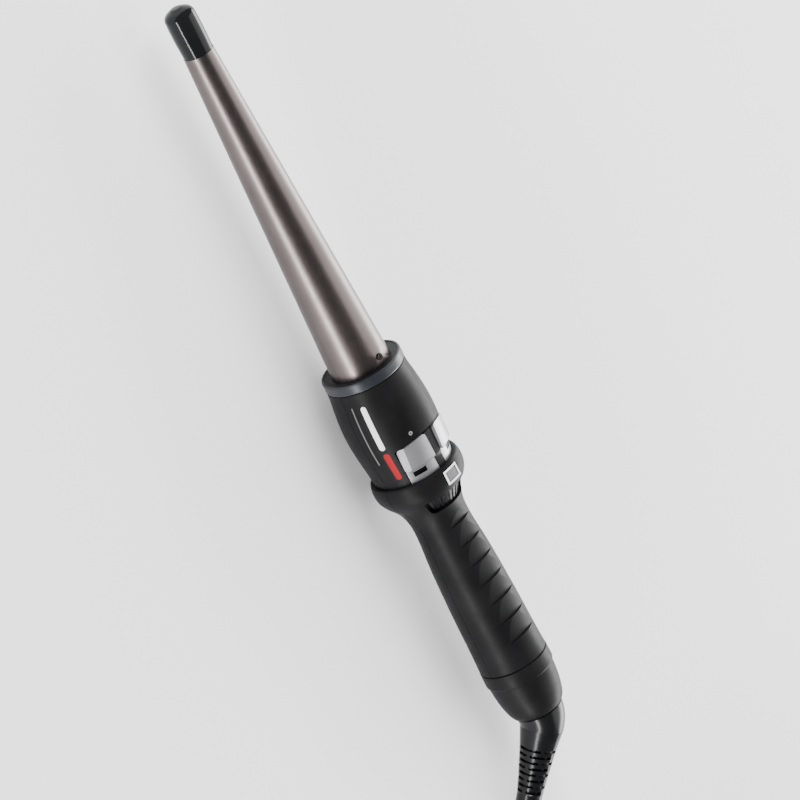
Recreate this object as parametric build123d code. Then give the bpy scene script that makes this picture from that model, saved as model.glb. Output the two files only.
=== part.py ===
from build123d import *
import math
import os

# Conical curling wand, lying on a table with its switch side up.
# All sizes are in millimetres. A station is a distance along the wand's axis from the front face of
# the collar ring: positive toward the tip, negative toward the cord. Each piece is made on an axis at
# z = 0 and is moved to the model's origin when it is saved: the middle of the wand's length, on the table.
# The cord, its hank and its plug are given in the model's own coordinates.

os.makedirs("parts", exist_ok=True)

# ---------------------------------------------------------------- driving dimensions
TIP_END = 165.8
TIP_SHOULDER = 162.2
BARREL_END = 145.5
BARREL_BASE_R = 12.5
BARREL_TIP_R = 6.35
BARREL_WALL = 1.2
BARREL_TAIL = -20.0

COLLAR_R = 16.9
COLLAR_END = -4.2
HOUSING_FRONT = -4.3
HOUSING_END = -50.6
HANDLE_FRONT = -48.0
HANDLE_END = -140.0
CAP_FRONT = -140.45
CAP_END = -164.5
BULGE_R = 19.1

PARTING = 0.07
FIT = 0.1
RUNNING = 0.05

SWITCH_FRONT = -31.1
SWITCH_BOW_R = 66.0
SWITCH_END = -42.4
SKIRT_END = -48.2
SWITCH_HALF = 52.0
STRIP_HALF = 7.0
POCKET_R = 15.6
STEM_X = -37.2
SWITCH_TRAVEL = 2.6

DIAL_FRONT = -58.8
DIAL_END = -64.8
DIAL_OFFSET = 3.2
DIAL_RIBS = 30
SLOT_HALF = 50.0
SPINDLE_R = 1.6

GRIP_STEPS = 7
FIRST_STEP = -74.6
STEP_PITCH = 9.02
STEP_DEPTH = 0.85
STEP_HALF = 34.0

HUB_END = CAP_END - 0.4
HUB_NECK_R = 7.5
SPINDLE_HUB_R = 4.5
RING_R = 6.0

BEND = 35.7
BEND_DROP = 35.0
ELBOW_STATION = -169.2
BOOT_LENGTH = 36.0
BOOT_RIBS = 8
RIB_PITCH = 2.55

CORD_D = 6.0
LEAD = [
    (-197.25, 16.2, 7.72), (-208.75, 23.0, 3.0), (-221.45, 28.8, 3.0), (-241.25, 29.8, 3.0),
    (-260.25, 28.9, 3.0),
]
HANK_NEAR = -267.25
HANK_RUN = 97.0
HANK_SIDE = 4.2
LOOP_R = 24.4
HANK_TOP = 24.7
WAIST_HALF = 12.6
TIE_WALL = 0.6
TAIL = [
    (-267.25, 28.6, 21.6), (-279.25, 27.6, 22.0), (-293.25, 22.0, 24.6), (-307.25, 13.6, 29.2),
    (-320.25, 6.6, 31.5),
    (-331.25, 4.2, 31.55),
]
PIN_R = 2.0
PIN_LENGTH = 19.0
PIN_SPACING = 18.6

BULGE_RISE = 0.02
AXIS_HEIGHT = BULGE_R + BULGE_RISE
X_SHIFT = -(TIP_END + HUB_END) / 2


# ---------------------------------------------------------------- helpers
def write(name, solids):
    """Write the solids as one sub-part, where they are."""
    shape = solids[0] if len(solids) == 1 else Compound(children=list(solids))
    export_step(shape, f"parts/{name}.step")


def save(name, *solids):
    """Write solids made on the wand's axis as one sub-part, moved to the model's origin."""
    write(name, [s.moved(Location((X_SHIFT, 0, AXIS_HEIGHT))) for s in solids])


def turned(points, half=180.0):
    """A turned solid with the section (station, radius), over half degrees each side of the top."""
    section = make_face(Polyline(*[(x, 0, r) for x, r in points], close=True))
    return revolve(section.rotate(Axis.X, -half), Axis.X, 2 * half)


def turned_curve(points, inner=0.0):
    """A turned solid whose outline is a smooth curve through (station, radius)."""
    curve = Spline(*[(x, 0, r) for x, r in points])
    first, last = points[0][0], points[-1][0]
    base = Polyline(curve @ 1, (last, 0, inner), (first, 0, inner), curve @ 0)
    return revolve(make_face(curve + base), Axis.X, 360)


def block(x0, x1, y0, y1, z0, z1):
    """A box between the given limits."""
    box = Box(x1 - x0, y1 - y0, z1 - z0)
    return box.moved(Location(((x0 + x1) / 2, (y0 + y1) / 2, (z0 + z1) / 2)))


def upright(x, y, radius, z0, z1):
    """A vertical round bar."""
    return Cylinder(radius, z1 - z0).moved(Location((x, y, (z0 + z1) / 2)))


def bar(x0, x1, radius, y=0.0, z=0.0):
    """A round bar along the wand's axis."""
    rod = Cylinder(radius, x1 - x0).rotate(Axis.Y, 90)
    return rod.moved(Location(((x0 + x1) / 2, y, z)))


def halves(shell):
    """The front and rear halves of a shell, with a fine parting line between them."""
    front = shell & block(-200, 200, -30, 30, PARTING, 30)
    rear = shell & block(-200, 200, -30, 30, -30, -PARTING)
    return front, rear


def barrel_radius(x):
    """The barrel's outer radius at a station."""
    return BARREL_BASE_R + (BARREL_TIP_R - BARREL_BASE_R) * max(x, 0) / BARREL_END


# ---------------------------------------------------------------- barrel and heater
def barrel():
    wall = BARREL_WALL
    tube = turned([
        (BARREL_TAIL, BARREL_BASE_R), (0, BARREL_BASE_R), (BARREL_END, BARREL_TIP_R),
        (BARREL_END, BARREL_TIP_R - wall), (0, BARREL_BASE_R - wall), (BARREL_TAIL, BARREL_BASE_R - wall),
    ])
    seat = upright(3, 0, 1.5, barrel_radius(3) - 0.25, 14)
    return tube - seat - upright(3, 0, 0.8, 5, 14)


def cool_tip():
    shoulder = BARREL_END + FIT
    side = Spline((shoulder, 0, 6.2), (shoulder + 5, 0, 6.4), (shoulder + 10, 0, 6.5), (TIP_SHOULDER, 0, 6.3))
    nose = Spline(
        side @ 1, (TIP_SHOULDER + 1.1, 0, 5.85), (TIP_SHOULDER + 2.2, 0, 4.75), (TIP_SHOULDER + 3.1, 0, 2.9),
        (TIP_END, 0, 0), tangents=[(1, 0, -0.2), (0, 0, -1)],
    )
    back = Polyline(nose @ 1, (shoulder, 0, 0), side @ 0)
    cap = revolve(make_face(side + nose + back), Axis.X, 360)
    spigot = turned([(138, 3.6), (138, 5.0), (shoulder, 5.0), (shoulder, 3.6)])
    return cap + spigot


def tip_lock():
    ring = turned([(138.6, 2.8), (138.6, 3.55), (144, 3.55), (144, 2.8)])
    return ring - block(138, 145, -0.6, 0.6, 2, 5)


def barrel_screw():
    seat = barrel_radius(3) - 0.25
    head = upright(3, 0, 1.35, seat, seat + 0.75)
    shank = upright(3, 0, 0.8, 8.0, seat)
    cross = block(2.1, 3.9, -0.2, 0.2, seat + 0.4, seat + 1) + block(2.8, 3.2, -0.9, 0.9, seat + 0.4, seat + 1)
    return head + shank - cross


def heater_retainer():
    disc = bar(0.5, 5.5, 10.8)
    holes = [bar(0, 6, 1.3, y, -3) for y in (-6, 6)] + [bar(0, 6, 2.2, 0, -5.5)]
    for hole in holes:
        disc = disc - hole
    return disc - upright(3, 0, 0.8, 8.0, 12)


def heater_core():
    gap = BARREL_WALL + 0.3
    start, end = 12, 132
    cone = turned([(start, 0), (start, barrel_radius(start) - gap), (end, barrel_radius(end) - gap), (end, 0)])
    groove = bar(start - 1, 62, 1.4, y=6.2)
    upper = cone & block(0, 140, -15, 15, 0.8, 15)
    lower = cone & block(0, 140, -15, 15, -15, -0.8)
    return upper - groove, lower - groove


def heater_plate():
    return block(13, 130, -4.2, 4.2, -0.75, 0.75)


def thermistor():
    bead = bar(53, 58, 1.0, y=6.2) + Sphere(1.0).moved(Location((58, 6.2, 0)))
    leads = [bar(7, 53, 0.25, y=6.2 + s * 0.5) for s in (-1, 1)]
    return bead + leads[0] + leads[1]


def thermal_fuse():
    return bar(-15, -5, 2.0, 0, -5.5) + bar(-22, -15, 0.5, 0, -5.5) + bar(-5, 12, 0.5, 0, -5.5)


def heater_wires():
    leads = []
    for side in (-1, 1):
        y = side * 6
        path = Polyline(
            (9, y, -3), (-15, y, -3), (-21, 0.45 * y, -4.2), (-33, 0.45 * y, -4.2), (-44, y, -3),
            (-53, y, -9.0),
            (-63, y, -8.6), (-70, y, -6.0), (-84, y, -6.0), (-92, y, -3.25),
        )
        section = Plane(path @ 0, z_dir=path % 0) * Circle(0.8)
        leads.append(sweep(section, path, transition=Transition.ROUND))
    return leads


def barrel_mount():
    ring = turned([(-6, 12.55), (-6, 15.2), (-19, 15.2), (-19, 12.55)])
    stop = turned([(-20.1, 8.0), (-20.1, 15.2), (-23, 15.2), (-23, 8.0)])
    tie = turned([(-18.9, 12.55), (-18.9, 15.2), (-20.2, 15.2), (-20.2, 12.55)])
    return ring + tie + stop


def heat_shield():
    return turned([
        (-0.25, 12.6), (-0.25, 15.6), (0, 15.9), (-0.1, 16.05), (-1.8, 16.05), (-1.8, 13.9), (-5.8, 13.9),
        (-5.8, 12.6),
    ])


def collar_ring():
    r = COLLAR_R
    return turned([
        (0, 16.1), (0, r - 0.5), (-0.15, r - 0.15), (-0.6, r), (COLLAR_END + 0.6, r),
        (COLLAR_END + 0.1, r - 0.2),
        (COLLAR_END, r - 0.5), (COLLAR_END, 15.4), (-1.9, 15.4), (-1.9, 16.1),
    ])


# ---------------------------------------------------------------- upper housing
HOUSING_OUTLINE = [
    (HOUSING_FRONT - 0.6, 16.75), (-8.5, 17.05), (-12, 17.55), (-18.6, 18.3), (-27, 18.62), (-35.4, 18.1),
    (-42, 17.35), (HOUSING_END, 16.7),
]
HOUSING_SCREWS = [(-27, -7.5), (-27, 7.5)]


def housing_post(x, y):
    """The bosses of one housing screw: the front one, the rear one and the hole that the head goes in."""
    front = upright(x, y, 2.6, 0.8, 13.5) - upright(x, y, 1.2, 0.5, 9)
    rear = upright(x, y, 3.3, -13.8, -0.8) - upright(x, y, 1.5, -14, 0)
    return front, rear, upright(x, y, 2.5, -20, -11.0)


def housing_shells():
    body = turned_curve(HOUSING_OUTLINE)
    edge = turned([
        (HOUSING_FRONT, 0), (HOUSING_FRONT, 16.35), (HOUSING_FRONT - 0.2, 16.65), (HOUSING_FRONT - 0.6, 16.75),
        (HOUSING_FRONT - 0.6, 0),
    ])
    cavity = turned([(-3, 0), (-3, 15.25), (-23.2, 15.25), (-24, 16.4), (-37, 15.9), (-52, 15.0), (-52, 0)])
    spigot = turned([(-2.1, 14.0), (-2.1, 15.3), (-4.4, 15.3), (-4.4, 14.0)])
    front, rear = halves(body + edge - cavity + spigot)
    front = front + switch_tray() - switch_pocket()
    for x, y in HOUSING_SCREWS:
        post_front, post_rear, head_hole = housing_post(x, y)
        front = front + post_front
        rear = rear + post_rear - head_hole
    return front, rear


def switch_tray():
    """The floor of the pocket that the switch slides in."""
    return turned([(-29.0, 14.0), (-29.0, 17), (HOUSING_END, 16.3), (HOUSING_END, 14.0)], SWITCH_HALF + 4)


def switch_bow(grow):
    """The upright round bar whose front is the bowed front edge of the switch, grown all round."""
    return upright(SWITCH_FRONT - SWITCH_BOW_R, 0, SWITCH_BOW_R + grow, 5, 30)


def switch_pocket():
    half = SWITCH_HALF + 1.0
    pocket = turned([(SWITCH_FRONT + 1, POCKET_R), (SWITCH_FRONT + 1, 22), (-53, 22), (-53, POCKET_R)], half)
    return (pocket & switch_bow(0.3)) + block(STEM_X - 5.0, STEM_X + 3.0, -2.4, 2.4, 12, 17)


def housing_screws():
    screws = []
    for x, y in HOUSING_SCREWS:
        head = upright(x, y, 2.3, -12.4, -11.0) - block(x - 1.5, x + 1.5, y - 0.25, y + 0.25, -13, -11.9)
        head = head - block(x - 0.25, x + 0.25, y - 1.5, y + 1.5, -13, -11.9)
        screws.append(head + upright(x, y, 1.2, -11.0, 7.5))
    return screws


# ---------------------------------------------------------------- slide switch
def facet(angle, radius, far_angle, far_radius):
    """A tool that planes off the switch outside the flat through two (angle, radius) places."""
    corners = []
    for a, r in ((angle, radius), (far_angle, far_radius), (far_angle, 24), (angle, 24)):
        corners.append((-55, r * math.sin(math.radians(a)), r * math.cos(math.radians(a))))
    return extrude(make_face(Polyline(*corners, close=True)), 30, dir=(1, 0, 0))


def switch_pad(side):
    """One silver pad of the switch, on the given side of its middle strip."""
    pad = turned([
        (SWITCH_FRONT, 16.0), (SWITCH_FRONT, 19.0), (SWITCH_END + 0.5, 18.5), (SWITCH_END, 18.1),
        (SWITCH_END, 16.6),
        (SKIRT_END, 16.6), (SKIRT_END, 16.0),
    ], (SWITCH_HALF - STRIP_HALF) / 2)
    pad = pad.rotate(Axis.X, -side * (SWITCH_HALF + STRIP_HALF) / 2) & switch_bow(0)
    for x, radius in ((SWITCH_FRONT, 2.2), (SWITCH_END, 1.0)):
        corners = [e for e in pad.edges() if radial(e) and e.length > 1.2 and abs(e.center().X - x) < 2]
        pad = fillet(corners, radius)
    outer = facet(side * (SWITCH_HALF - 11.0), 18.9, side * (SWITCH_HALF + 0.5), 17.2)
    inner = facet(side * (STRIP_HALF + 2.4), 19.0, side * (STRIP_HALF - 0.5), 18.0)
    return pad - outer - inner


def radial(edge):
    """Whether an edge points straight away from the wand's axis."""
    middle = edge.center()
    outward = Vector(0, middle.Y, middle.Z).normalized()
    return abs(edge.tangent_at(0.5).dot(outward)) > 0.9


def switch_cap():
    bridge = turned([(SWITCH_FRONT - 0.4, 16.0), (SWITCH_FRONT - 0.4, 16.6), (SKIRT_END, 16.6), (SKIRT_END, 16.0)],
                    STRIP_HALF + 0.5)
    cap = switch_pad(-1) + switch_pad(1) + (bridge & switch_bow(-0.4))
    front, rear = SWITCH_END - 1.4, SWITCH_END - 3.5
    for angle in (-34, 34):
        cap = cap - turned([(front, 16.25), (front, 18), (rear, 18), (rear, 16.25)], 10).rotate(Axis.X, angle)
    return cap - block(STEM_X - 2.0, STEM_X + 2.0, -1.6, 1.6, 14, 18)


def switch_insert():
    """The black strip between the pads, with the stem that reaches down to the switch."""
    strip = turned([
        (SWITCH_FRONT - 0.2, 16.65), (SWITCH_FRONT - 0.2, 17.3), (SWITCH_FRONT - 0.8, 17.7), (SWITCH_END, 17.4),
        (SWITCH_END - 1.5, 16.85), (SKIRT_END, 16.85), (SKIRT_END, 16.65),
    ], STRIP_HALF - 0.25)
    return strip + block(STEM_X - 1.9, STEM_X + 1.9, -1.5, 1.5, 12.2, 17)


def switch_actuator():
    shoe = block(STEM_X - 2.0, STEM_X + 2.0, -1.6, 1.6, 10.2, 12.15)
    return shoe + block(STEM_X - 1.2, STEM_X + 1.2, -1.0, 1.0, 7.2, 10.2)


def switch_body():
    x0, x1 = STEM_X - 8.9, STEM_X + 4.1
    shell = block(x0, x1, -4.5, 4.5, 2.4, 9.9)
    slot = block(STEM_X - 4.3, STEM_X + 1.7, -1.3, 1.3, 6.9, 10.5)
    tags = [block(x - 0.4, x + 0.4, -1.4, 1.4, -1.2, 2.4) for x in (x0 + 2.5, (x0 + x1) / 2, x1 - 2.5)]
    return shell - slot + tags[0] + tags[1] + tags[2]


# ---------------------------------------------------------------- handle shells
HANDLE_OUTLINE = [
    (HANDLE_FRONT - 0.6, 18.5), (-50.0, 18.9), (-52.2, BULGE_R), (-55.5, 18.6), (-58.9, 16.7),
    (-62.3, 14.3), (-65.6, 12.8),
    (-69, 11.95), (-74, 11.6), (-80, 11.85), (-86, 12.35), (-96, 13.0), (-106, 13.4), (-118, 13.75),
    (-130, 13.95),
    (HANDLE_END, 14.3),
]
HANDLE_SCREWS = [(-84.5, 9.0), (-131.5, 9.8)]


def handle_radius(x):
    """The grip's outer radius at a station, along its outline."""
    for (x0, r0), (x1, r1) in zip(HANDLE_OUTLINE, HANDLE_OUTLINE[1:]):
        if x1 <= x <= x0:
            return r0 + (r1 - r0) * (x - x0) / (x1 - x0)
    return HANDLE_OUTLINE[-1][1]


def grip_scallop(start):
    """The tool that cuts one scale of the grip: it touches at its start and is deepest at the next step."""
    end = start - STEP_PITCH
    ra, rb = handle_radius(start), handle_radius(end)
    side = rb * math.sin(math.radians(STEP_HALF))
    drop = rb * (1 - math.cos(math.radians(STEP_HALF))) - STEP_DEPTH
    curve = side ** 2 / (2 * drop) + drop / 2
    offset = curve - (rb - STEP_DEPTH)
    keep = turned([(start, 0), (start, ra + offset), (end, curve), (end, 0)])
    return block(end, start, -12, 12, 4, 20) - keep.moved(Location((0, 0, -offset)))


def handle_post(x, head):
    front = upright(x, 0, 2.8, 0.8, head + 2.4) - upright(x, 0, 1.2, 0.5, 8)
    rear = upright(x, 0, 3.4, -head - 2.4, -0.8) - upright(x, 0, 1.5, -head - 3, 0)
    return front, rear, upright(x, 0, 2.5, -16, -head)


def dial_slot():
    """The window that shows the dial: straight at the collar and round at its two lower corners."""
    half = SLOT_HALF
    upper = turned([(DIAL_FRONT + 0.5, 8), (DIAL_FRONT + 0.5, 20), (DIAL_END + 2, 20), (DIAL_END + 2, 8)], half)
    lower = turned([(DIAL_END + 2, 8), (DIAL_END + 2, 20), (DIAL_END - 0.4, 20), (DIAL_END - 0.4, 8)], half - 9)
    window = upper + lower
    for side in (-1, 1):
        corner = upright(DIAL_END + 2, 0, 2.4, 8, 20).rotate(Axis.X, side * (half - 10.5))
        window = window + corner
    return window


def window_cut(grow):
    """The block that leaves room for the indicator window, grown on each side."""
    return block(-55.45 - grow, -49.55 + grow, -3.85 - grow, 3.85 + grow, 14, 22)


def handle_shells():
    body = turned_curve(HANDLE_OUTLINE)
    front_x = HANDLE_FRONT
    lip = turned([
        (front_x, 0), (front_x, 17.85), (front_x - 0.15, 18.2), (front_x - 0.6, 18.5), (front_x - 0.6, 0),
    ])
    bore = turned([(front_x + 1, 0), (front_x + 1, 17.0), (-51.2, 17.0), (-51.2, 0)])
    cavity = turned_curve([
        (-51.1, 16.4), (-53.5, 16.8), (-56, 16.1), (-60, 13.95), (-64, 11.7), (-69, 10.1), (-74, 9.7),
        (-82, 10.0),
        (-96, 10.9), (-116, 11.6), (-137, 12.0),
    ])
    tail = bar(HANDLE_END - 1, -136.9, 11.9)
    front, rear = halves(body + lip - bore - cavity - tail)
    front = front - dial_slot() - window_cut(0.05)
    for i in range(GRIP_STEPS):
        tool = grip_scallop(FIRST_STEP + STEP_PITCH - i * STEP_PITCH)
        front = front - tool
        rear = rear - tool.rotate(Axis.X, 180)
    for x, head in HANDLE_SCREWS:
        post_front, post_rear, head_hole = handle_post(x, head)
        front = front + post_front
        rear = rear + post_rear - head_hole
    return front, rear


def handle_screws():
    screws = []
    for x, head in HANDLE_SCREWS:
        disc = upright(x, 0, 2.3, -head - 1.4, -head)
        disc = disc - block(x - 1.5, x + 1.5, -0.25, 0.25, -head - 2, -head - 0.9)
        disc = disc - block(x - 0.25, x + 0.25, -1.5, 1.5, -head - 2, -head - 0.9)
        screws.append(disc + upright(x, 0, 1.2, -head, 7))
    return screws


# ---------------------------------------------------------------- indicator window
def indicator_bezel():
    outer = window_cut(0) & turned([(-60, 17.1), (-60, 19.4), (-45, 19.4), (-45, 17.1)], 30)
    return outer - block(-54.7, -50.3, -3.1, 3.1, 12, 22)


def indicator_lens():
    pane = block(-54.65, -50.35, -3.05, 3.05, 14, 22)
    return pane & turned([(-60, 17.4), (-60, 19.1), (-45, 19.1), (-45, 17.4)], 30)


def indicator_led():
    body = upright(-52.5, 0, 1.4, 12.6, 15.6) + Sphere(1.4).moved(Location((-52.5, 0, 15.6)))
    legs = [upright(-52.5 + s * 0.8, 0, 0.25, 9.9, 12.6) for s in (-1, 1)]
    return body + legs[0] + legs[1]


# ---------------------------------------------------------------- temperature dial
def temperature_dial():
    front_r, end_r = 12.0, 9.2
    wheel = turned([
        (DIAL_FRONT, SPINDLE_R), (DIAL_FRONT, front_r - 0.6), (DIAL_FRONT - 0.3, front_r),
        (DIAL_END + 0.3, end_r),
        (DIAL_END, end_r - 0.5), (DIAL_END, SPINDLE_R),
    ])
    pitch = 360 / DIAL_RIBS
    groove = Cylinder(0.6, 14)
    lean = math.degrees(math.atan2(front_r - end_r, DIAL_FRONT - DIAL_END))
    groove = groove.rotate(Axis.Y, 90 - lean)
    groove = groove.moved(Location(((DIAL_FRONT + DIAL_END) / 2, 0, (front_r + end_r) / 2 + 0.1)))
    wheel = wheel - [groove.rotate(Axis.X, i * pitch) for i in range(DIAL_RIBS)]
    return wheel.moved(Location((0, 0, DIAL_OFFSET)))


def dial_spindle():
    return bar(-72.5, DIAL_FRONT + 1.6, SPINDLE_R, z=DIAL_OFFSET)


def dial_control():
    """The rotary control behind the dial, with its three tags."""
    body = bar(-74, -66.4, 5.6, z=DIAL_OFFSET)
    tags = [block(-73.2, -72.8, y - 0.5, y + 0.5, -5.0, -1.5) for y in (-2.5, 0, 2.5)]
    body = body - bar(-73.5, -66, SPINDLE_R + RUNNING, z=DIAL_OFFSET)
    return body + tags[0] + tags[1] + tags[2]


# ---------------------------------------------------------------- control board
def control_board():
    return block(-126.5, -90, -9.0, 9.0, -2.4, -0.8)


def triac():
    return block(-102, -92.5, -4.2, 4.2, -0.8, 3.2) + block(-92.5, -90.2, -4.2, 4.2, -0.8, 0.4)


def capacitor():
    return block(-118.5, -105.5, -6.4, 0.6, -0.8, 6.2)


def supply_wires():
    return [bar(-141.2, -123, 0.8, y, -3.2) for y in (-6, 6)]


def fuse():
    glass = bar(-119, -105.2, 2.0, 5.2, 1.6)
    ends = bar(-119.6, -116.6, 2.3, 5.2, 1.6) + bar(-107.6, -104.6, 2.3, 5.2, 1.6)
    return glass + ends


# ---------------------------------------------------------------- tail cap and swivel
def tail_cap():
    outline = Spline((-147.2, 0, 13.85), (-150, 0, 13.75), (-156.4, 0, 13.05), (-161, 0, 12.0), (-163.6, 0, 10.8),
                     (CAP_END, 0, 9.9))
    front = Polyline(
        (CAP_FRONT, 0, 0), (CAP_FRONT, 0, 14.2), (CAP_FRONT - 0.25, 0, 14.42), (-146.3, 0, 14.5),
        (-146.8, 0, 14.3),
        (-147.2, 0, 13.85),
    )
    back = Polyline((CAP_END, 0, 9.9), (CAP_END, 0, 0), (CAP_FRONT, 0, 0))
    body = revolve(make_face(front + outline + back), Axis.X, 360)
    hollow = turned([
        (-135, 0), (-135, 10.4), (-142, 11.0), (-146, 11.9), (-152, 11.8), (-159.5, 10.4), (-159.5, 0),
    ])
    spigot = turned([(-137.2, 0), (-137.2, 11.8), (-140.5, 11.8), (-140.5, 0)])
    return body + spigot - hollow - bar(-165, -159, HUB_NECK_R + RUNNING)


def swivel_hub():
    """The hollow hub that turns in the tail cap: a spindle for the slip rings, a flange and a neck."""
    return turned([
        (-144.2, 2.6), (-144.2, SPINDLE_HUB_R), (-157, SPINDLE_HUB_R), (-157, 9.6), (-159.2, 9.6),
        (-159.2, HUB_NECK_R), (HUB_END, HUB_NECK_R), (HUB_END, 2.6),
    ])


def slip_ring(start):
    return turned([(start, SPINDLE_HUB_R), (start, RING_R), (start - 3, RING_R), (start - 3, SPINDLE_HUB_R)])


def brush_holder():
    disc = bar(-143.2, -141.2, 10.8) - bar(-144, -141, 5.2)
    blocks = block(-145.5, -143.2, -2.5, 2.5, 6.7, 9.4) + block(-145.5, -143.2, -2.5, 2.5, -9.4, -6.7)
    return disc + blocks


def brush(side, end):
    leaf = block(end, -143.2, -1.5, 1.5, RING_R + RUNNING, RING_R + 0.5)
    return leaf if side > 0 else leaf.rotate(Axis.X, 180)


# ---------------------------------------------------------------- strain relief
def boot_direction():
    """The way that the cord leaves the swivel: back along the axis, to one side and down to the table."""
    b, p = math.radians(BEND), math.radians(BEND_DROP)
    return Vector(-math.cos(b), math.sin(b) * math.cos(p), -math.sin(b) * math.sin(p))


ELBOW = Vector(ELBOW_STATION, 0, 0)
BOOT_OUTLINE = [(4.3, 8.75), (8, 8.1), (12, 7.5), (16, 6.95), (20, 6.5), (24.2, 5.95), (28.3, 5.55), (31.2, 5.3)]


def boot_cuts(radius_at):
    """The cross slots of the bend protector: rings of slots, interrupted by two rails each side in turn."""
    rings = []
    for i in range(BOOT_RIBS):
        s = 12.6 + i * RIB_PITCH
        r = radius_at(s)
        ring = Cylinder(r + 2, 1.15) - Cylinder(r - 1.25, 1.15)
        turn = 45 * (i % 2)
        rails = Box(30, 1.5, 3).rotate(Axis.Z, turn) + Box(1.5, 30, 3).rotate(Axis.Z, turn)
        rings.append((ring - rails).moved(Location((0, 0, s))))
    return rings


def boot_radius(s):
    for (s0, r0), (s1, r1) in zip(BOOT_OUTLINE, BOOT_OUTLINE[1:]):
        if s0 <= s <= s1:
            return r0 + (r1 - r0) * (s - s0) / (s1 - s0)
    return BOOT_OUTLINE[-1][1]


def strain_relief():
    """The moulded elbow that turns with the swivel hub, and its ribbed bend protector."""
    direction = boot_direction()
    curve = Spline(*[(r, 0, s) for s, r in BOOT_OUTLINE])
    rest = Polyline(curve @ 1, (5.15, 0, 31.6), (5.15, 0, BOOT_LENGTH - 0.5), (4.7, 0, BOOT_LENGTH),
                    (0, 0, BOOT_LENGTH), (0, 0, BOOT_OUTLINE[0][0]), curve @ 0)
    boot = revolve(make_face(curve + rest), Axis.Z, 360)
    boot = boot - boot_cuts(boot_radius)
    boot = boot.moved(Plane(ELBOW, x_dir=direction.cross(Vector(1, 0, 0)), z_dir=direction).location)
    reach = ELBOW_STATION - HUB_END
    start = ELBOW - Vector(1, 0, 0) * reach
    end = ELBOW + direction * BOOT_OUTLINE[0][0]
    bend = Bezier(start, start + (ELBOW - start) * 0.6, end + (ELBOW - end) * 0.6, end)
    sections = []
    for t, r in ((0, 9.9), (0.33, 9.6), (0.66, 9.2), (1, BOOT_OUTLINE[0][1])):
        sections.append(Plane(bend @ t, z_dir=bend % t) * Circle(r))
    return loft(sections) + boot


# ---------------------------------------------------------------- cord, hank and plug
def cord_tube(points, label):
    """A round cord along straight runs joined by arcs, each as large as its two runs allow."""
    spots = [Vector(*p) for p in points]
    radii = []
    for before, corner, after in zip(spots, spots[1:], spots[2:]):
        one, two = corner - before, after - corner
        turn = math.radians(one.get_angle(two))
        radii.append(0.45 * min(one.length, two.length) / math.tan(turn / 2))
    path = FilletPolyline(*spots, radius=radii)
    tube = sweep(Plane(path @ 0, z_dir=path % 0) * Circle(CORD_D / 2), path)
    share = tube.volume / (path.length * math.pi * CORD_D ** 2 / 4)
    print(label, "radii", [round(r, 1) for r in radii])
    print(label, "length", round(path.length, 1), "volume share", round(share, 4))
    return tube


def hank_width(along):
    """Half the hank's width at a share of its run: wide at the ends and gathered at the middle."""
    end_half = LOOP_R + CORD_D / 2
    spread = min(1.0, max(0.0, (abs(along - 0.5) * 2 - 0.08) / 0.75))
    return WAIST_HALF + (end_half - WAIST_HALF) * spread * spread * (3 - 2 * spread)


def cord_hank():
    """The outer shape of the folded cord: two round ends and a waist that the tie gathers."""
    steps = 24
    row = [(HANK_NEAR - HANK_RUN * i / steps, hank_width(i / steps)) for i in range(steps + 1)]
    outline = [(x, HANK_SIDE + w) for x, w in row] + [(x, HANK_SIDE - w) for x, w in reversed(row)]
    flare = extrude(make_face(Polyline(*outline, close=True)), HANK_TOP)
    ends = [upright(x, HANK_SIDE, LOOP_R + CORD_D / 2, 0, HANK_TOP) for x in (HANK_NEAR, HANK_NEAR - HANK_RUN)]
    middle = tie_middle()
    tie_room = block(middle - 8, middle + 8, HANK_SIDE - 40, HANK_SIDE + 40, -1, TIE_WALL + 0.02)
    return flare + ends[0] + ends[1] - tie_room


def tie_middle():
    return HANK_NEAR - HANK_RUN / 2


def cord_tie():
    """The band round the hank's waist."""
    half, wall = 4.0, TIE_WALL
    x = tie_middle()
    reach = WAIST_HALF + wall
    outer = block(x - half, x + half, HANK_SIDE - reach, HANK_SIDE + reach, 0, HANK_TOP + wall)
    outer = fillet(outer.edges().filter_by(Axis.X), 1.8)
    room = WAIST_HALF + 0.02
    inner = block(x - 9, x + 9, HANK_SIDE - room, HANK_SIDE + room, wall, HANK_TOP)
    return outer - inner


def plug_body():
    """A flat two-pin plug: a six-sided body that narrows to the moulded bend protector round the cord."""
    back, front = TAIL[-1][0] - 12, TAIL[-1][0] - 40
    y, z = HANK_SIDE, TAIL[-1][2]
    thick = 13.6
    outline = [(front, 17.6), (front + 9, 17.6), (back - 3, 8.6), (back, 6.2)]
    corners = [(x, y + w) for x, w in outline] + [(x, y - w) for x, w in reversed(outline)]
    body = extrude(make_face(Polyline(*corners, close=True)), thick).moved(Location((0, 0, z - thick / 2)))
    body = fillet(body.edges().filter_by(Axis.Z), 2.2)
    body = fillet(body.faces().sort_by(Axis.Z)[-1].edges() + body.faces().sort_by(Axis.Z)[0].edges(), 1.2)
    start = TAIL[-1][0] + 2
    neck = turned([(start, CORD_D / 2), (start, CORD_D / 2 + 0.9), (back - 2, 5.4), (back - 2, 0), (start - 2, 0),
                   (start - 2, CORD_D / 2)])
    for i in range(4):
        x = start - 2.4 - i * 2.6
        neck = neck - (turned([(x, 3.7), (x, 8), (x - 1.1, 8), (x - 1.1, 3.7)]) - block(-400, 0, -1, 1, -9, 9))
    return body + neck.moved(Location((0, y, z)))


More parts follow.
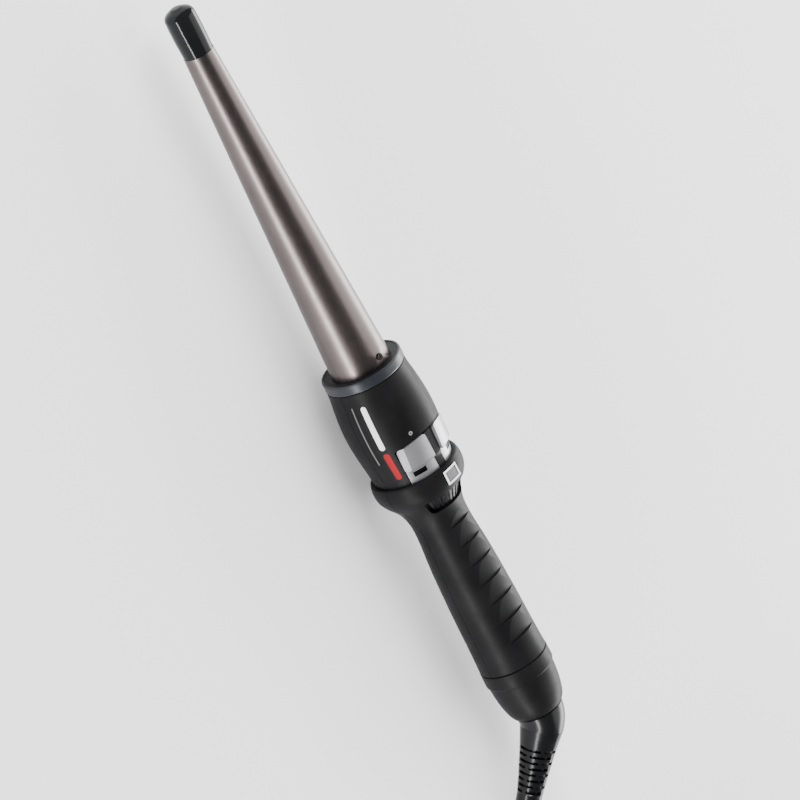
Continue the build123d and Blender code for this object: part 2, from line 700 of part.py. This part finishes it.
def plug_pins():
    pins = []
    front, z = TAIL[-1][0] - 40, TAIL[-1][2]
    for side in (-1, 1):
        y = HANK_SIDE + side * PIN_SPACING / 2
        pin = turned([
            (front, 0), (front, PIN_R), (front - PIN_LENGTH + 1.5, PIN_R),
            (front - PIN_LENGTH + 0.4, PIN_R * 0.75),
            (front - PIN_LENGTH, PIN_R * 0.35), (front - PIN_LENGTH, 0),
        ])
        pins.append(pin.moved(Location((0, y, z))))
    return pins


# ---------------------------------------------------------------- write the parts
def main():
    save("barrel", barrel())
    save("cool_tip", cool_tip())
    save("tip_lock", tip_lock())
    save("barrel_screw", barrel_screw())
    save("heater_retainer", heater_retainer())
    upper, lower = heater_core()
    save("heater_core_upper", upper)
    save("heater_core_lower", lower)
    save("heater_plate", heater_plate())
    save("thermistor", thermistor())
    save("thermal_fuse", thermal_fuse())
    save("heater_wires", *heater_wires())
    save("barrel_mount", barrel_mount())
    save("heat_shield", heat_shield())
    save("collar_ring", collar_ring())
    front, rear = housing_shells()
    save("front_housing", front)
    save("rear_housing", rear)
    save("housing_screws", *housing_screws())
    save("switch_cap", switch_cap())
    save("switch_insert", switch_insert())
    save("switch_actuator", switch_actuator())
    save("switch_body", switch_body())
    front, rear = handle_shells()
    save("front_handle", front)
    save("rear_handle", rear)
    save("handle_screws", *handle_screws())
    save("indicator_bezel", indicator_bezel())
    save("indicator_lens", indicator_lens())
    save("indicator_led", indicator_led())
    save("temperature_dial", temperature_dial())
    save("dial_spindle", dial_spindle())
    save("dial_control", dial_control())
    save("control_board", control_board())
    save("triac", triac())
    save("capacitor", capacitor())
    save("fuse", fuse())
    save("supply_wires", *supply_wires())
    save("tail_cap", tail_cap())
    save("swivel_hub", swivel_hub())
    save("slip_ring_line", slip_ring(-147))
    save("slip_ring_neutral", slip_ring(-152))
    save("brush_holder", brush_holder())
    save("brush_line", brush(1, -150))
    save("brush_neutral", brush(-1, -155))
    save("strain_relief", strain_relief())
    write("cord", [cord_tube(LEAD, "lead"), cord_tube(TAIL, "tail")])
    write("cord_hank", [cord_hank()])
    write("cord_tie", [cord_tie()])
    write("plug_body", [plug_body()])
    write("plug_pins", plug_pins())


main()
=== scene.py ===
import math

import bmesh
import bpy
from mathutils import Matrix, Vector


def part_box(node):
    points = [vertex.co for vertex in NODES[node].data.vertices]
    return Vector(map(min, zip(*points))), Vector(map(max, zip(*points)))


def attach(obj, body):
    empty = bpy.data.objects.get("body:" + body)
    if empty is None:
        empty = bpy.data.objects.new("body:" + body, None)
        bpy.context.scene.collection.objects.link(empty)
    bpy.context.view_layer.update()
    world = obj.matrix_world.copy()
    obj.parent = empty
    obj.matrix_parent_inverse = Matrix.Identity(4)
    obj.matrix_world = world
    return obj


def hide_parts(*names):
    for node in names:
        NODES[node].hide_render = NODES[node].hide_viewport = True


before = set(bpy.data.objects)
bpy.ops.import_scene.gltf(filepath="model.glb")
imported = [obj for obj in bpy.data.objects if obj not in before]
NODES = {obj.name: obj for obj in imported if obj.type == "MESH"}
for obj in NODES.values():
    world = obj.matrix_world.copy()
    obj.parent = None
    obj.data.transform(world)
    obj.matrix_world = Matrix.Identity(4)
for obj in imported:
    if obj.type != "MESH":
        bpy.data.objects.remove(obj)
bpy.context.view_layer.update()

# The wand lies along X with its tip toward +X and its switch side up. The frame is in metres.
MM = 0.001

# The wand's axis and the front face of its collar, which place the camera, the lights and the prints.
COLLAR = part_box("collar_ring")
AXIS_Z = (COLLAR[0][2] + COLLAR[1][2]) / 2
FACE_X = COLLAR[1][0]


# ---------------------------------------------------------------- camera
# The view is from above the switch side and a little from the tip's end, rolled until the tip is up and left.
VIEW_BACK = Vector((0.386, 0.588, 0.711)).normalized()
VIEW_RIGHT = Vector((-0.4245, -0.5709, 0.7024)).normalized()
VIEW_UP = VIEW_BACK.cross(VIEW_RIGHT)
LENS_MM = 500
SENSOR_MM = 36
FAR_CLIP = 50
# the width that the view takes in at the wand, and how far from the collar's face it is aimed
FRAME_WIDTH = 0.3101
AIM_RIGHT = 0.01575
AIM_DOWN = 0.01411


def make_camera():
    data = bpy.data.cameras.new("camera")
    data.lens = LENS_MM
    data.sensor_width = SENSOR_MM
    data.clip_end = FAR_CLIP
    camera = bpy.data.objects.new("camera", data)
    bpy.context.scene.collection.objects.link(camera)
    aim = Vector((FACE_X, 0, AXIS_Z)) + VIEW_RIGHT * AIM_RIGHT - VIEW_UP * AIM_DOWN
    distance = FRAME_WIDTH * LENS_MM / SENSOR_MM
    turn = Matrix((VIEW_RIGHT, VIEW_UP, VIEW_BACK)).transposed().to_4x4()
    camera.matrix_world = Matrix.Translation(aim + VIEW_BACK * distance) @ turn
    bpy.context.scene.camera = camera


make_camera()

# ---------------------------------------------------------------- cord
CORD_D = 6.0 * MM
# From here on, the points and sizes of the cord's route and of its strap are in millimetres.
LEAD = [
    (-197.25, 16.2, 7.72), (-208.75, 23.0, 3.0), (-221.45, 28.8, 3.0),
    (-241.25, 29.8, 3.0), (-260.25, 28.9, 3.0),
]
TAIL = [
    (-267.25, 28.6, 21.6), (-279.25, 27.6, 22.0), (-293.25, 22.0, 24.6),
    (-307.25, 13.6, 29.2), (-320.25, 6.6, 31.5), (-331.25, 4.2, 31.55),
]
# The hank is two loops joined by runs that draw in to a waist, where the strap holds them. WAIST_HELD is the
# share of a half run that lies straight there, and WAIST_SPREAD is the share over which it then spreads.
HANK_NEAR = -267.25
HANK_RUN = 97.0
HANK_SIDE = 4.2
LOOP_R = 18.2
WAIST = 3.1
WAIST_HELD = 0.08
WAIST_SPREAD = 0.75
STRAND = 6.2
WAIST_STRAND = 6.0
FLOOR_Z = 3.0
TIE_Z = 3.65
POINTS_A_QUARTER = 6
# The ring (0 is the inner one) and the layer of each turn, from the cord's start, and where it leaves.
TURNS = [(1, 0), (0, 0), (0, 1), (1, 1), (1, 2), (0, 2), (0, 3), (1, 3)]
# The share of the last turn at which it starts to change its place, how much later each earlier turn does,
# and how long a change takes.
LAST_CHANGE = 0.62
CHANGE_LATER = 0.025
CHANGE_SPAN = 0.25


def smooth(t):
    t = min(1.0, max(0.0, t))
    return t * t * (3 - 2 * t)


def change(turn, along):
    """How far a turn has changed into the next one, along being in turns from its start."""
    start = LAST_CHANGE + (len(TURNS) - 2 - turn) * CHANGE_LATER
    return smooth((along - start) / CHANGE_SPAN)


def place(turn, along):
    """The ring and the layer at a point of a turn."""
    ring, layer = TURNS[turn]
    share = change(turn, along)
    after = TURNS[turn + 1]
    spot = [ring + (after[0] - ring) * share, layer + (after[1] - layer) * share]
    if turn > 0 and change(turn - 1, 1 + along) < 1:
        before = TURNS[turn - 1]
        share = change(turn - 1, 1 + along)
        spot = [before[0] + (ring - before[0]) * share, before[1] + (layer - before[1]) * share]
    return spot


def hank_point(turn, quarter, part):
    """One point of the hank: a run, the far loop, the run back and the near loop are a quarter each."""
    ring, layer = place(turn, (quarter + part) / 4)
    radius = LOOP_R + STRAND * ring
    if quarter in (0, 2):
        side = 1 if quarter == 0 else -1
        gone = part if quarter == 0 else 1 - part
        waist = WAIST + STRAND * ring
        spread = smooth((abs(part - 0.5) * 2 - WAIST_HELD) / WAIST_SPREAD)
        x = HANK_NEAR - HANK_RUN * gone
        y = side * (waist + (radius - waist) * spread)
    else:
        side = -1 if quarter == 1 else 1
        middle = HANK_NEAR - HANK_RUN if quarter == 1 else HANK_NEAR
        spread = 1
        angle = math.radians(90 - 180 * part)
        reach = radius / math.cos(math.radians(90 / POINTS_A_QUARTER))
        x = middle + side * reach * math.cos(angle)
        y = -side * reach * math.sin(angle)
    z = (FLOOR_Z + STRAND * layer) * spread + (TIE_Z + WAIST_STRAND * layer) * (1 - spread)
    return x, HANK_SIDE + y, z


def cord_route():
    turns = [
        hank_point(turn, quarter, (i + 0.5) / POINTS_A_QUARTER)
        for turn in range(len(TURNS) - 1)
        for quarter in range(4)
        for i in range(POINTS_A_QUARTER)
    ]
    return [Vector(p) * MM for p in LEAD + turns + TAIL]


STRAP_X = HANK_NEAR - HANK_RUN / 2
STRAP_HALF_X = 3.9
STRAP_HALF_Y = 12.62
STRAP_TOP = 24.75
STRAP_WALL = 0.5
STRAP_BEND = 1.6
BEND_POINTS = 7
# Back on top, the strap climbs over its own start: how far along and how high. Then it runs on.
CLIMB_AT = 1.2
CLIMB = [(0, 0.1), (1.2, 0.45), (2.4, 0.72)]
RUN_ON = 12.0
RUN_POINTS = 6
# The strap's section, from -1 to 1 across its width and through its wall: its faces are bowed a little.
STRAP_SECTION = [
    (-1, 0), (-0.96, 0.8), (-0.5, 1), (0, 1), (0.5, 1), (0.96, 0.8), (1, 0), (0.96, -0.8), (-0.96, -0.8),
]


def strap_path():
    """The strap's middle line round the hank's waist: once round, then on over itself to its loose end."""
    low = STRAP_WALL / 2
    high = STRAP_TOP + STRAP_WALL / 2
    side = STRAP_HALF_Y + STRAP_WALL / 2
    start_y = -side + STRAP_BEND + CLIMB_AT
    points = [(start_y - 0.2, high)]
    for y_side, z_side, start in ((1, 1, 90), (1, -1, 0), (-1, -1, -90), (-1, 1, 180)):
        middle_y = y_side * (side - STRAP_BEND)
        middle_z = high - STRAP_BEND if z_side > 0 else low + STRAP_BEND
        for i in range(BEND_POINTS):
            angle = math.radians(start - 90 * i / (BEND_POINTS - 1))
            points.append((middle_y + STRAP_BEND * math.cos(angle), middle_z + STRAP_BEND * math.sin(angle)))
    for along, climb in CLIMB:
        points.append((start_y + along, high + climb))
    last_along, last_climb = CLIMB[-1]
    for i in range(1, RUN_POINTS + 1):
        points.append((start_y + last_along + RUN_ON * i / RUN_POINTS, high + last_climb))
    return points


def strap_rows(mesh):
    """The strap's section at each point of its path, square to the path."""
    rows = []
    path = strap_path()
    for i, (y, z) in enumerate(path):
        before = path[max(0, i - 1)]
        after = path[min(len(path) - 1, i + 1)]
        along = Vector((after[0] - before[0], after[1] - before[1])).normalized()
        out = Vector((-along.y, along.x))
        row = []
        for width, height in STRAP_SECTION:
            lift = height * (STRAP_WALL / 2)
            spot = (STRAP_X + width * STRAP_HALF_X, HANK_SIDE + y + out.x * lift, z + out.y * lift)
            row.append(mesh.verts.new(Vector(spot) * MM))
        rows.append(row)
    return rows


def make_strap():
    """The hook-and-loop strap that holds the hank, as one flat strip wound round it."""
    mesh = bmesh.new()
    rows = strap_rows(mesh)
    for row, after in zip(rows, rows[1:]):
        for j in range(len(row)):
            mesh.faces.new((row[j - 1], row[j], after[j], after[j - 1]))
    mesh.faces.new(rows[0])
    mesh.faces.new(list(reversed(rows[-1])))
    bmesh.ops.recalc_face_normals(mesh, faces=mesh.faces)
    data = bpy.data.meshes.new("hank_strap")
    mesh.to_mesh(data)
    mesh.free()
    data.polygons.foreach_set("use_smooth", [True] * len(data.polygons))
    strap = bpy.data.objects.new("hank_strap", data)
    bpy.context.scene.collection.objects.link(strap)
    soften = strap.modifiers.new("soften", "SUBSURF")
    soften.levels = 1
    soften.render_levels = 1
    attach(strap, "swivel")
    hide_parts("cord_tie")
    return strap


def make_cord():
    """The whole cord as one tube that follows the route's smooth spline."""
    data = bpy.data.curves.new("cord_route", "CURVE")
    data.dimensions = "3D"
    route = cord_route()
    spline = data.splines.new("NURBS")
    spline.points.add(len(route) - 1)
    for point, spot in zip(spline.points, route):
        point.co = (*spot, 1)
    spline.order_u = 3
    spline.use_endpoint_u = True
    spline.resolution_u = 6
    line = bpy.data.objects.new("cord_route", data)
    bpy.context.scene.collection.objects.link(line)
    path = [v.co.copy() for v in bpy.data.meshes.new_from_object(line).vertices]
    data.bevel_depth = CORD_D / 2
    data.bevel_resolution = 5
    data.use_fill_caps = True
    cord = bpy.data.objects.new("cord_flex", bpy.data.meshes.new_from_object(line))
    bpy.context.scene.collection.objects.link(cord)
    bpy.data.objects.remove(line)
    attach(cord, "swivel")
    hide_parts("cord", "cord_hank")
    return cord


strap = make_strap()
cord = make_cord()


# ---------------------------------------------------------------- shader nodes
def new_material(name):
    """A material with its node tree and its shader."""
    material = bpy.data.materials.new(name)
    material.use_nodes = True
    return material, material.node_tree, material.node_tree.nodes["Principled BSDF"]


def feed(tree, socket, value):
    """Set a socket to a value, or link it to another node's output socket."""
    if isinstance(value, bpy.types.NodeSocket):
        tree.links.new(value, socket)
    else:
        socket.default_value = value


def node(tree, kind, settings=None, **inputs):
    """A node with its settings and its inputs, which are values or the output sockets of other nodes."""
    made = tree.nodes.new(kind)
    for key, value in (settings or {}).items():
        setattr(made, key, value)
    for key, value in inputs.items():
        feed(tree, made.inputs[key], value)
    return made


def maths(tree, operation, *values):
    """The result of a Math node."""
    made = node(tree, "ShaderNodeMath", {"operation": operation})
    for socket, value in zip(made.inputs, values):
        feed(tree, socket, value)
    return made.outputs["Value"]


def length_of(tree, x, y):
    """The length of the flat vector x, y."""
    flat = node(tree, "ShaderNodeCombineXYZ", X=x, Y=y)
    made = node(tree, "ShaderNodeVectorMath", {"operation": "LENGTH"}, Vector=flat.outputs["Vector"])
    return made.outputs["Value"]


def position(tree, scale=(1, 1, 1)):
    """The place on the object in millimetres, stretched by scale."""
    coords = node(tree, "ShaderNodeTexCoord")
    sizes = [1 / MM * s for s in scale]
    return node(tree, "ShaderNodeMapping", Vector=coords.outputs["Object"], Scale=sizes).outputs["Vector"]


def noise(tree, vector, scale, detail=2.0, rough=0.5):
    made = node(tree, "ShaderNodeTexNoise", Vector=vector, Scale=scale, Detail=detail, Roughness=rough)
    return made.outputs["Fac"]


def ramp(tree, value, low, high, to_low, to_high):
    """value from low to high becomes to_low to to_high, held past both ends."""
    made = node(tree, "ShaderNodeMapRange", Value=value)
    for key, number in (("From Min", low), ("From Max", high), ("To Min", to_low), ("To Max", to_high)):
        made.inputs[key].default_value = number
    return made.outputs["Result"]


def blend_colours(tree, share, first, second):
    """A colour that goes from the first to the second as share goes from 0 to 1."""
    made = node(tree, "ShaderNodeMix", {"data_type": "RGBA"})
    feed(tree, made.inputs["Factor"], share)
    for socket, value in ((made.inputs[6], first), (made.inputs[7], second)):
        feed(tree, socket, (*value, 1) if isinstance(value, tuple) else value)
    return made.outputs[2]


def bump(tree, shader, height, depth_mm):
    """A bump whose height of 0 to 1 is depth_mm deep."""
    made = node(tree, "ShaderNodeBump", Height=height, Distance=depth_mm * MM)
    tree.links.new(made.outputs["Normal"], shader.inputs["Normal"])


def recolour(material, mask, colour):
    """Lay a colour over a material's own colour where the mask is 1."""
    tree = material.node_tree
    base = tree.nodes["Principled BSDF"].inputs["Base Color"]
    tree.links.new(blend_colours(tree, mask, base.links[0].from_socket, colour), base)


# ---------------------------------------------------------------- materials
def plastic(name, colour, rough, grain_mm, grain_depth, shine):
    """Moulded plastic: a fine eroded grain, and faint cloudiness in its colour and gloss."""
    material, tree, shader = new_material(name)
    where = position(tree)
    cloud = noise(tree, where, 0.09, 3)
    pale = tuple(min(1, c * 1.3 + 0.001) for c in colour)
    tint = blend_colours(tree, ramp(tree, cloud, 0.35, 0.7, 0, 1), colour, pale)
    tree.links.new(tint, shader.inputs["Base Color"])
    smudge = noise(tree, where, 0.22, 4, 0.6)
    gloss = ramp(tree, smudge, 0.3, 0.75, rough * 0.88, min(1, rough * 1.15))
    tree.links.new(gloss, shader.inputs["Roughness"])
    shader.inputs["Specular IOR Level"].default_value = shine
    bump(tree, shader, noise(tree, where, 1 / grain_mm, 2), grain_depth)
    return material


def metal(name, colour, rough, lines, line_mm, depth):
    """Bare or coated metal with fine lines, drawn out along the direction that lines shrinks most."""
    material, tree, shader = new_material(name)
    shader.inputs["Metallic"].default_value = 1.0
    fine = noise(tree, position(tree, lines), 1 / line_mm, 3, 0.6)
    cloud = noise(tree, position(tree), 0.06, 3)
    darker = tuple(c * 0.86 for c in colour)
    tint = blend_colours(tree, ramp(tree, cloud, 0.3, 0.7, 0, 1), colour, darker)
    tree.links.new(tint, shader.inputs["Base Color"])
    gloss = ramp(tree, fine, 0.3, 0.7, rough * 0.85, rough * 1.18)
    tree.links.new(gloss, shader.inputs["Roughness"])
    bump(tree, shader, fine, depth)
    return material


def strap_cloth():
    """Black hook-and-loop cloth, with short loops all over. Its colour follows the bump: painted shade
    between the loops and painted light on their tops.
    """
    material, tree, shader = new_material("tie_black")
    loops = noise(tree, position(tree), 2.6, 4, 0.7)
    # painted shade in the gaps between the loops, and painted light on the loop tops
    painted_shade_between = (0.006, 0.006, 0.0065)
    painted_light_on_tops = (0.028, 0.028, 0.03)
    tint = blend_colours(tree, ramp(tree, loops, 0.35, 0.7, 0, 1), painted_shade_between, painted_light_on_tops)
    tree.links.new(tint, shader.inputs["Base Color"])
    shader.inputs["Roughness"].default_value = 0.85
    shader.inputs["Specular IOR Level"].default_value = 0.2
    shader.inputs["Sheen Weight"].default_value = 0.15
    bump(tree, shader, loops, 0.12)
    return material


HOUSING_BLACK = (0.0048, 0.0048, 0.0052)
# Each plastic's name, colour, roughness, grain size and depth in millimetres, specular level and nodes.
PLASTICS = [
    ("tip_gloss", (0.004, 0.0045, 0.005), 0.14, 0.6, 0.0004, 0.16, ["cool_tip"]),
    ("shield_black", (0.004, 0.004, 0.0045), 0.5, 0.35, 0.004, 0.1, ["heat_shield"]),
    ("collar_slate", (0.011, 0.0125, 0.0155), 0.32, 0.5, 0.0012, 0.22, ["collar_ring"]),
    ("soft_touch", HOUSING_BLACK, 0.42, 0.22, 0.003, 0.06,
     ["rear_housing", "front_handle", "rear_handle", "tail_cap"]),
    ("soft_touch_printed", HOUSING_BLACK, 0.42, 0.22, 0.003, 0.06, ["front_housing"]),
    ("silver_lacquer", (0.25, 0.25, 0.26), 0.34, 0.12, 0.0012, 0.5, ["switch_cap"]),
    ("strip_black", (0.005, 0.005, 0.0055), 0.4, 0.3, 0.001, 0.1,
     ["switch_insert", "switch_actuator", "swivel_hub", "switch_body"]),
    ("lens_grey", (0.09, 0.09, 0.095), 0.12, 0.8, 0.0003, 0.5, ["indicator_lens", "indicator_led"]),
    ("dial_black", (0.004, 0.004, 0.0045), 0.35, 0.3, 0.002, 0.15, ["temperature_dial"]),
    ("ceramic_white", (0.6, 0.59, 0.55), 0.6, 0.4, 0.003, 0.5,
     ["heater_core_upper", "heater_core_lower", "heater_plate"]),
    ("board_green", (0.012, 0.07, 0.03), 0.4, 0.5, 0.002, 0.5, ["control_board"]),
    ("component_black", (0.015, 0.015, 0.016), 0.45, 0.3, 0.002, 0.5,
     ["triac", "capacitor", "fuse", "dial_control", "brush_holder", "barrel_mount", "thermistor"]),
    ("wire_red", (0.35, 0.02, 0.02), 0.4, 0.5, 0.001, 0.5, ["heater_wires", "supply_wires"]),
    ("boot_gloss", (0.003, 0.0032, 0.0036), 0.24, 0.6, 0.0006, 0.16, ["strain_relief"]),
    ("plug_black", (0.007, 0.007, 0.0075), 0.38, 0.3, 0.002, 0.2, ["plug_body"]),
    ("cord_black", (0.007, 0.007, 0.0075), 0.38, 0.5, 0.002, 0.2, []),
]
EVEN = (1, 1, 1)
ALONG_WAND = (0.12, 1, 1)
# Each metal's name, colour, roughness, how its lines are drawn out, their size and depth in millimetres, and
# its nodes.
METALS = [
    ("titanium_coating", (0.118, 0.099, 0.097), 0.34, ALONG_WAND, 0.35, 0.0012, ["barrel"]),
    ("bright_chrome", (0.8, 0.8, 0.82), 0.12, EVEN, 0.8, 0.0003, ["indicator_bezel"]),
    ("screw_black", (0.03, 0.028, 0.028), 0.4, EVEN, 0.3, 0.002, ["barrel_screw"]),
    ("screw_steel", (0.35, 0.34, 0.34), 0.32, EVEN, 0.3, 0.002,
     ["housing_screws", "handle_screws", "tip_lock", "heater_retainer", "thermal_fuse", "dial_spindle"]),
    ("slip_brass", (0.6, 0.44, 0.2), 0.25, EVEN, 0.3, 0.002,
     ["slip_ring_line", "slip_ring_neutral", "brush_line", "brush_neutral"]),
    ("nickel", (0.62, 0.6, 0.56), 0.18, EVEN, 0.3, 0.002, ["plug_pins"]),
]
SILVER_METALLIC = 0.75


def give(material, names):
    for name in names:
        slots = NODES[name].data.materials
        slots.clear()
        slots.append(material)


def paint_parts(cord, strap):
    made = {}
    for name, colour, rough, grain_mm, grain_depth, shine, names in PLASTICS:
        made[name] = plastic(name, colour, rough, grain_mm, grain_depth, shine)
        give(made[name], names)
    for name, colour, rough, lines, line_mm, depth, names in METALS:
        give(metal(name, colour, rough, lines, line_mm, depth), names)
    print_marks(made["soft_touch_printed"])
    silver = made["silver_lacquer"]
    silver.node_tree.nodes["Principled BSDF"].inputs["Metallic"].default_value = SILVER_METALLIC
    # painted shade in the floors of the switch skirt's windows
    paint_window_shade(silver)
    cord.data.materials.append(made["cord_black"])
    strap.data.materials.append(strap_cloth())


# ---------------------------------------------------------------- prints on the wand, and painted shade in the switch's windows
WHITE_INK = (0.75, 0.75, 0.75)
PALE_INK = (0.2, 0.2, 0.205)
GREY_INK = (0.1, 0.1, 0.105)
RED_INK = (0.25, 0.002, 0.005)
# Each printed mark's station from the collar's face, angle from the top toward +Y in degrees, half length,
# half width and ink. The last two are a small ring.
MARKS = [
    (-19.9, 63.5, 9.9, 1.15, WHITE_INK), (-37.9, 63.5, 6.4, 1.3, RED_INK), (-22.7, 79.0, 13.2, 0.3, GREY_INK),
    (-28.1, 24.0, 0.8, 0.8, PALE_INK), (-28.1, 24.0, 0.36, 0.36, HOUSING_BLACK),
]
# the length of one degree round the housing, and half the width of an ink's soft edge, in millimetres
DEGREE_MM = 0.32
INK_EDGE = 0.06
# the radius of the switch's skirt, and how far below it the painted shade in its windows starts and is full
SKIRT_R = 16.6
SHADE_FROM = 0.1
SHADE_FULL = 0.22
# the colour of the painted shade in the windows' floors
WINDOW_PAINTED_SHADE = (0.003, 0.003, 0.003)


def around_axis(tree):
    """The station along the wand, and the offsets toward +Y and up from its axis, in millimetres."""
    parts = node(tree, "ShaderNodeSeparateXYZ", Vector=position(tree))
    up = maths(tree, "SUBTRACT", parts.outputs["Z"], AXIS_Z / MM)
    return parts.outputs["X"], parts.outputs["Y"], up


def past(tree, value, centre, unit, core):
    """How many millimetres a value is past the core round its centre, where unit is the size of its 1."""
    off = maths(tree, "ABSOLUTE", maths(tree, "SUBTRACT", value, centre))
    return maths(tree, "MAXIMUM", maths(tree, "MULTIPLY_ADD", off, unit, -core), 0.0)


def print_marks(material):
    """Plain bars and a ring, in ink on the housing."""
    tree = material.node_tree
    station, side, up = around_axis(tree)
    angle = maths(tree, "DEGREES", maths(tree, "ARCTAN2", side, up))
    for x, at_angle, half_length, half_width, ink in MARKS:
        along = past(tree, station, FACE_X / MM + x, 1.0, half_length - half_width)
        across = past(tree, angle, at_angle, DEGREE_MM, 0.0)
        mask = ramp(tree, length_of(tree, along, across), half_width - INK_EDGE, half_width + INK_EDGE, 1, 0)
        recolour(material, mask, ink)


def paint_window_shade(material):
    """Painted shade: black in the floors of the switch skirt's two windows, which lie nearer the wand's axis,
    in place of the shade in these recesses.
    """
    tree = material.node_tree
    _, side, up = around_axis(tree)
    mask = ramp(tree, length_of(tree, side, up), SKIRT_R - SHADE_FULL, SKIRT_R - SHADE_FROM, 1, 0)
    recolour(material, mask, WINDOW_PAINTED_SHADE)


# ---------------------------------------------------------------- edges
# how far the sharp edges of these small pieces are rounded, in millimetres, so that they catch the light
ROUNDED = {"indicator_bezel": 0.28, "switch_cap": 0.22}
SHARP_DEGREES = 35


def round_edges():
    for name, width_mm in ROUNDED.items():
        rounding = NODES[name].modifiers.new("rounded", "BEVEL")
        rounding.width = width_mm * MM
        rounding.segments = 3
        rounding.limit_method = "ANGLE"
        rounding.angle_limit = math.radians(SHARP_DEGREES)


paint_parts(cord, strap)
round_edges()


# ---------------------------------------------------------------- floor and light
FLOOR_HALF = 6
# the floor is this far below the wand's lowest point, so that no face shares its plane
FLOOR_GAP = 0.0002
FLOOR_WHITE = (0.86, 0.86, 0.87, 1)
WORLD_STRENGTH = 0.28
# A light that leans toward the cord's end as far as the camera leans toward the tip's end is mirrored all
# along the barrel.
MIRRORED_LEAN = math.degrees(math.asin(VIEW_BACK.x))
# Each light's name, angle from straight up toward +Y, lean toward the cord's end, distance, size, power, and
# whether glossy surfaces mirror it.
LIGHTS = [
    ("side_box", -50, MIRRORED_LEAN, 1.6, (2.4, 2.2), 52, True),
    ("side_strip", -78, MIRRORED_LEAN, 1.5, (2.4, 0.7), 72, True),
    ("left_strip", 80, MIRRORED_LEAN, 1.4, (2.2, 0.1), 55, True),
    ("floor_box", -20, -52, 3.0, (2.5, 2.5), 240, False),
]


def make_floor():
    mesh = bpy.data.meshes.new("floor")
    corners = [(x * FLOOR_HALF, y * FLOOR_HALF, 0) for x, y in ((-1, -1), (1, -1), (1, 1), (-1, 1))]
    mesh.from_pydata(corners, [], [(0, 1, 2, 3)])
    floor = bpy.data.objects.new("floor", mesh)
    floor.location.z = -FLOOR_GAP
    bpy.context.scene.collection.objects.link(floor)
    material, _, shader = new_material("floor_white")
    shader.inputs["Base Color"].default_value = FLOOR_WHITE
    shader.inputs["Roughness"].default_value = 0.9
    shader.inputs["Specular IOR Level"].default_value = 0.1
    mesh.materials.append(material)


def area_light(name, angle, lean, distance, size, power, mirrored):
    """A soft light that faces the collar and is hidden from the camera."""
    data = bpy.data.lights.new(name, "AREA")
    data.shape = "RECTANGLE"
    data.size, data.size_y = size
    data.energy = power
    light = bpy.data.objects.new(name, data)
    angle = math.radians(angle)
    lean = math.radians(lean)
    way = Vector((-math.sin(lean), math.cos(lean) * math.sin(angle), math.cos(lean) * math.cos(angle)))
    spot = Vector((FACE_X, 0, AXIS_Z)) + way * distance
    side = (Vector((1, 0, 0)) - way * way.x).normalized()
    up = way.cross(side)
    light.matrix_world = Matrix.Translation(spot) @ Matrix((side, up, way)).transposed().to_4x4()
    light.visible_camera = False
    light.visible_glossy = mirrored
    bpy.context.scene.collection.objects.link(light)


def make_world():
    world = bpy.data.worlds.new("world")
    bpy.context.scene.world = world
    world.use_nodes = True
    background = world.node_tree.nodes["Background"]
    background.inputs["Color"].default_value = (1, 1, 1, 1)
    background.inputs["Strength"].default_value = WORLD_STRENGTH


make_floor()
for light in LIGHTS:
    area_light(*light)
make_world()
